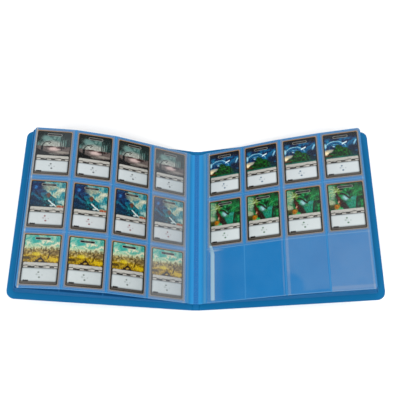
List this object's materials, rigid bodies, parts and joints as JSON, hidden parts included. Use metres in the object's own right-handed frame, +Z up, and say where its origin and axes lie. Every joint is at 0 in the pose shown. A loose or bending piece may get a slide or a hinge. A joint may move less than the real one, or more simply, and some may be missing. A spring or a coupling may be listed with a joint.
{
  "type": "trading card album",
  "caption": "Portfolio album for trading cards, open in a shallow V, with clear side-loading pockets in a grid on each leaf and a flexible plastic cover.",
  "frame": {"origin": "under the centre of the spine panel, on the surface that the album rests on", "axes": "+X across the open spread towards the back cover, +Y up the pages, +Z up"},
  "size_m": [0.6244, 0.3158, 0.1132],
  "materials": {
    "cover_sheet": "fine matte polypropylene",
    "leaf_sheet": "satin polypropylene",
    "gutter_sheet": "satin polypropylene with a knurled weld",
    "pocket_film": "clear glossy film",
    "printed_card": "coated printed card"
  },
  "bodies": {
    "spine": {"spine_panel": "cover_sheet", "front_crease": "cover_sheet", "back_crease": "cover_sheet", "spine_weld": "gutter_sheet"},
    "front_cover": {"front_cover": "cover_sheet"},
    "back_cover": {"back_cover": "cover_sheet"},
    "left_leaf_8": {"left_leaf_8": "leaf_sheet"},
    "left_leaf_7": {"left_leaf_7": "leaf_sheet"},
    "left_leaf_6": {"left_leaf_6": "leaf_sheet"},
    "left_leaf_5": {"left_leaf_5": "leaf_sheet"},
    "left_leaf_4": {"left_leaf_4": "leaf_sheet"},
    "left_leaf_3": {"left_leaf_3": "leaf_sheet"},
    "right_leaf_8": {"right_leaf_8": "leaf_sheet"},
    "right_leaf_7": {"right_leaf_7": "leaf_sheet"},
    "right_leaf_6": {"right_leaf_6": "leaf_sheet"},
    "right_leaf_5": {"right_leaf_5": "leaf_sheet"},
    "right_leaf_4": {"right_leaf_4": "leaf_sheet"},
    "right_leaf_3": {"right_leaf_3": "leaf_sheet"},
    "right_leaf_2": {"right_leaf_2": "leaf_sheet"},
    "left_leaf_2_inner": {"left_leaf_2_inner": "leaf_sheet"},
    "left_leaf_2_middle": {"left_leaf_2_middle": "leaf_sheet"},
    "left_leaf_2_outer": {"left_leaf_2_outer": "leaf_sheet"},
    "left_leaf_1_inner": {"left_leaf_1_inner": "leaf_sheet", "left_film_1": "pocket_film", "left_film_2": "pocket_film"},
    "left_leaf_1_middle": {"left_leaf_1_middle": "leaf_sheet", "left_film_3": "pocket_film"},
    "left_leaf_1_outer": {"left_leaf_1_outer": "leaf_sheet", "left_film_4": "pocket_film"},
    "right_leaf_1_inner": {"right_leaf_1_inner": "leaf_sheet", "right_film_1": "pocket_film", "right_film_2": "pocket_film"},
    "right_leaf_1_middle": {"right_leaf_1_middle": "leaf_sheet", "right_film_3": "pocket_film"},
    "right_leaf_1_outer": {"right_leaf_1_outer": "leaf_sheet", "right_film_4": "pocket_film"},
    "left_card_1_1": {"left_card_1_1": "printed_card"},
    "left_card_2_1": {"left_card_2_1": "printed_card"},
    "left_card_3_1": {"left_card_3_1": "printed_card"},
    "left_card_1_2": {"left_card_1_2": "printed_card"},
    "left_card_2_2": {"left_card_2_2": "printed_card"},
    "left_card_3_2": {"left_card_3_2": "printed_card"},
    "left_card_1_3": {"left_card_1_3": "printed_card"},
    "left_card_2_3": {"left_card_2_3": "printed_card"},
    "left_card_3_3": {"left_card_3_3": "printed_card"},
    "left_card_1_4": {"left_card_1_4": "printed_card"},
    "left_card_2_4": {"left_card_2_4": "printed_card"},
    "left_card_3_4": {"left_card_3_4": "printed_card"},
    "right_card_1_1": {"right_card_1_1": "printed_card"},
    "right_card_2_1": {"right_card_2_1": "printed_card"},
    "right_card_1_2": {"right_card_1_2": "printed_card"},
    "right_card_2_2": {"right_card_2_2": "printed_card"},
    "right_card_1_3": {"right_card_1_3": "printed_card"},
    "right_card_2_3": {"right_card_2_3": "printed_card"},
    "right_card_1_4": {"right_card_1_4": "printed_card"},
    "right_card_2_4": {"right_card_2_4": "printed_card"}
  },
  "joints": [
    {"name": "front_cover_fold", "type": "hinge", "parent": "spine", "child": "front_cover", "pos_m": [-0.006, 0, 0.00015], "axis": [0, 1, 0], "range_deg": [-15, 75]},
    {"name": "back_cover_fold", "type": "hinge", "parent": "spine", "child": "back_cover", "pos_m": [0.006, 0, 0.00015], "axis": [0, -1, 0], "range_deg": [-15, 75]},
    {"name": "left_leaf_8_fold", "type": "hinge", "parent": "spine", "child": "left_leaf_8", "pos_m": [0, 0, 0.0059], "axis": [0, 1, 0], "range_deg": [-15.36, 74.8]},
    {"name": "left_leaf_7_fold", "type": "hinge", "parent": "spine", "child": "left_leaf_7", "pos_m": [0, 0, 0.0059], "axis": [0, 1, 0], "range_deg": [-15.22, 74.1]},
    {"name": "left_leaf_6_fold", "type": "hinge", "parent": "spine", "child": "left_leaf_6", "pos_m": [0, 0, 0.0059], "axis": [0, 1, 0], "range_deg": [-15.08, 73.4]},
    {"name": "left_leaf_5_fold", "type": "hinge", "parent": "spine", "child": "left_leaf_5", "pos_m": [0, 0, 0.0059], "axis": [0, 1, 0], "range_deg": [-14.94, 72.7]},
    {"name": "left_leaf_4_fold", "type": "hinge", "parent": "spine", "child": "left_leaf_4", "pos_m": [0, 0, 0.0059], "axis": [0, 1, 0], "range_deg": [-14.8, 72]},
    {"name": "left_leaf_3_fold", "type": "hinge", "parent": "spine", "child": "left_leaf_3", "pos_m": [0, 0, 0.0059], "axis": [0, 1, 0], "range_deg": [-14.66, 71.3]},
    {"name": "right_leaf_8_fold", "type": "hinge", "parent": "spine", "child": "right_leaf_8", "pos_m": [0, 0, 0.0059], "axis": [0, -1, 0], "range_deg": [-15.36, 74.8]},
    {"name": "right_leaf_7_fold", "type": "hinge", "parent": "spine", "child": "right_leaf_7", "pos_m": [0, 0, 0.0059], "axis": [0, -1, 0], "range_deg": [-15.22, 74.1]},
    {"name": "right_leaf_6_fold", "type": "hinge", "parent": "spine", "child": "right_leaf_6", "pos_m": [0, 0, 0.0059], "axis": [0, -1, 0], "range_deg": [-15.08, 73.4]},
    {"name": "right_leaf_5_fold", "type": "hinge", "parent": "spine", "child": "right_leaf_5", "pos_m": [0, 0, 0.0059], "axis": [0, -1, 0], "range_deg": [-14.94, 72.7]},
    {"name": "right_leaf_4_fold", "type": "hinge", "parent": "spine", "child": "right_leaf_4", "pos_m": [0, 0, 0.0059], "axis": [0, -1, 0], "range_deg": [-14.8, 72]},
    {"name": "right_leaf_3_fold", "type": "hinge", "parent": "spine", "child": "right_leaf_3", "pos_m": [0, 0, 0.0059], "axis": [0, -1, 0], "range_deg": [-14.66, 71.3]},
    {"name": "right_leaf_2_fold", "type": "hinge", "parent": "spine", "child": "right_leaf_2", "pos_m": [0, 0, 0.0059], "axis": [0, -1, 0], "range_deg": [-14.52, 70.6]},
    {"name": "left_leaf_2_fold", "type": "hinge", "parent": "spine", "child": "left_leaf_2_inner", "pos_m": [0, 0, 0.0059], "axis": [0, 1, 0], "range_deg": [-13.1, 63.5]},
    {"name": "left_leaf_2_bend_1", "type": "hinge", "parent": "left_leaf_2_inner", "child": "left_leaf_2_middle", "pos_m": [-0.14765, 0, 0.07956], "axis": [0, 1, 0], "range_deg": [-2.12, 9.4]},
    {"name": "left_leaf_2_bend_2", "type": "hinge", "parent": "left_leaf_2_middle", "child": "left_leaf_2_outer", "pos_m": [-0.21712, 0, 0.102], "axis": [0, 1, 0], "range_deg": [-2.28, 10.2]},
    {"name": "left_leaf_1_turn", "type": "hinge", "parent": "left_leaf_2_inner", "child": "left_leaf_1_inner", "pos_m": [0, 0, 0.0059], "axis": [0, -1, 0], "range_deg": [-129.5, 0]},
    {"name": "left_leaf_1_bend_1", "type": "hinge", "parent": "left_leaf_1_inner", "child": "left_leaf_1_middle", "pos_m": [-0.14739, 0, 0.08007], "axis": [0, 1, 0], "range_deg": [-2.12, 9.4]},
    {"name": "left_leaf_1_bend_2", "type": "hinge", "parent": "left_leaf_1_middle", "child": "left_leaf_1_outer", "pos_m": [-0.21686, 0, 0.10251], "axis": [0, 1, 0], "range_deg": [-2.28, 10.2]},
    {"name": "right_leaf_1_fold", "type": "hinge", "parent": "spine", "child": "right_leaf_1_inner", "pos_m": [0, 0, 0.0059], "axis": [0, -1, 0], "range_deg": [-13.94, 67.7]},
    {"name": "right_leaf_1_bend_1", "type": "hinge", "parent": "right_leaf_1_inner", "child": "right_leaf_1_middle", "pos_m": [0.15243, 0, 0.06908], "axis": [0, -1, 0], "range_deg": [-1.04, 4]},
    {"name": "right_leaf_1_bend_2", "type": "hinge", "parent": "right_leaf_1_middle", "child": "right_leaf_1_outer", "pos_m": [0.22141, 0, 0.09297], "axis": [0, -1, 0], "range_deg": [-0.96, 3.6]},
    {"name": "left_card_1_1_slide", "type": "slide", "parent": "left_leaf_1_inner", "child": "left_card_1_1", "axis": [0.891, 0, -0.454], "range_m": [-0.0015, 0.021]},
    {"name": "left_card_2_1_slide", "type": "slide", "parent": "left_leaf_1_inner", "child": "left_card_2_1", "axis": [0.891, 0, -0.454], "range_m": [-0.0015, 0.021]},
    {"name": "left_card_3_1_slide", "type": "slide", "parent": "left_leaf_1_inner", "child": "left_card_3_1", "axis": [0.891, 0, -0.454], "range_m": [-0.0015, 0.021]},
    {"name": "left_card_1_2_slide", "type": "slide", "parent": "left_leaf_1_inner", "child": "left_card_1_2", "axis": [0.891, 0, -0.454], "range_m": [-0.0015, 0.004]},
    {"name": "left_card_2_2_slide", "type": "slide", "parent": "left_leaf_1_inner", "child": "left_card_2_2", "axis": [0.891, 0, -0.454], "range_m": [-0.0015, 0.004]},
    {"name": "left_card_3_2_slide", "type": "slide", "parent": "left_leaf_1_inner", "child": "left_card_3_2", "axis": [0.891, 0, -0.454], "range_m": [-0.0015, 0.004]},
    {"name": "left_card_1_3_slide", "type": "slide", "parent": "left_leaf_1_middle", "child": "left_card_1_3", "axis": [0.9516, 0, -0.3074], "range_m": [-0.0015, 0.004]},
    {"name": "left_card_2_3_slide", "type": "slide", "parent": "left_leaf_1_middle", "child": "left_card_2_3", "axis": [0.9516, 0, -0.3074], "range_m": [-0.0015, 0.004]},
    {"name": "left_card_3_3_slide", "type": "slide", "parent": "left_leaf_1_middle", "child": "left_card_3_3", "axis": [0.9516, 0, -0.3074], "range_m": [-0.0015, 0.004]},
    {"name": "left_card_1_4_slide", "type": "slide", "parent": "left_leaf_1_outer", "child": "left_card_1_4", "axis": [0.9903, 0, -0.1392], "range_m": [-0.0015, 0.004]},
    {"name": "left_card_2_4_slide", "type": "slide", "parent": "left_leaf_1_outer", "child": "left_card_2_4", "axis": [0.9903, 0, -0.1392], "range_m": [-0.0015, 0.004]},
    {"name": "left_card_3_4_slide", "type": "slide", "parent": "left_leaf_1_outer", "child": "left_card_3_4", "axis": [0.9903, 0, -0.1392], "range_m": [-0.0015, 0.004]},
    {"name": "right_card_1_1_slide", "type": "slide", "parent": "right_leaf_1_inner", "child": "right_card_1_1", "axis": [-0.9219, 0, -0.3875], "range_m": [-0.0015, 0.021]},
    {"name": "right_card_2_1_slide", "type": "slide", "parent": "right_leaf_1_inner", "child": "right_card_2_1", "axis": [-0.9219, 0, -0.3875], "range_m": [-0.0015, 0.021]},
    {"name": "right_card_1_2_slide", "type": "slide", "parent": "right_leaf_1_inner", "child": "right_card_1_2", "axis": [-0.9219, 0, -0.3875], "range_m": [-0.0015, 0.004]},
    {"name": "right_card_2_2_slide", "type": "slide", "parent": "right_leaf_1_inner", "child": "right_card_2_2", "axis": [-0.9219, 0, -0.3875], "range_m": [-0.0015, 0.004]},
    {"name": "right_card_1_3_slide", "type": "slide", "parent": "right_leaf_1_middle", "child": "right_card_1_3", "axis": [-0.9449, 0, -0.3272], "range_m": [-0.0015, 0.004]},
    {"name": "right_card_2_3_slide", "type": "slide", "parent": "right_leaf_1_middle", "child": "right_card_2_3", "axis": [-0.9449, 0, -0.3272], "range_m": [-0.0015, 0.004]},
    {"name": "right_card_1_4_slide", "type": "slide", "parent": "right_leaf_1_outer", "child": "right_card_1_4", "axis": [-0.9622, 0, -0.2723], "range_m": [-0.0015, 0.004]},
    {"name": "right_card_2_4_slide", "type": "slide", "parent": "right_leaf_1_outer", "child": "right_card_2_4", "axis": [-0.9622, 0, -0.2723], "range_m": [-0.0015, 0.004]}
  ],
  "couplings": [
    {"joint": "left_leaf_8_fold", "follows": "front_cover_fold", "ratio": 0.99067},
    {"joint": "left_leaf_7_fold", "follows": "front_cover_fold", "ratio": 0.98133},
    {"joint": "left_leaf_6_fold", "follows": "front_cover_fold", "ratio": 0.972},
    {"joint": "left_leaf_5_fold", "follows": "front_cover_fold", "ratio": 0.96267},
    {"joint": "left_leaf_4_fold", "follows": "front_cover_fold", "ratio": 0.95333},
    {"joint": "left_leaf_3_fold", "follows": "front_cover_fold", "ratio": 0.944},
    {"joint": "right_leaf_8_fold", "follows": "back_cover_fold", "ratio": 0.99067},
    {"joint": "right_leaf_7_fold", "follows": "back_cover_fold", "ratio": 0.98133},
    {"joint": "right_leaf_6_fold", "follows": "back_cover_fold", "ratio": 0.972},
    {"joint": "right_leaf_5_fold", "follows": "back_cover_fold", "ratio": 0.96267},
    {"joint": "right_leaf_4_fold", "follows": "back_cover_fold", "ratio": 0.95333},
    {"joint": "right_leaf_3_fold", "follows": "back_cover_fold", "ratio": 0.944},
    {"joint": "right_leaf_2_fold", "follows": "back_cover_fold", "ratio": 0.93467},
    {"joint": "left_leaf_2_fold", "follows": "front_cover_fold", "ratio": 0.84},
    {"joint": "left_leaf_2_bend_1", "follows": "front_cover_fold", "ratio": 0.12133},
    {"joint": "left_leaf_2_bend_2", "follows": "front_cover_fold", "ratio": 0.132},
    {"joint": "left_leaf_1_bend_1", "follows": "front_cover_fold", "ratio": 0.12133},
    {"joint": "left_leaf_1_bend_2", "follows": "front_cover_fold", "ratio": 0.132},
    {"joint": "right_leaf_1_fold", "follows": "back_cover_fold", "ratio": 0.896},
    {"joint": "right_leaf_1_bend_1", "follows": "back_cover_fold", "ratio": 0.049333},
    {"joint": "right_leaf_1_bend_2", "follows": "back_cover_fold", "ratio": 0.044}
  ]
}
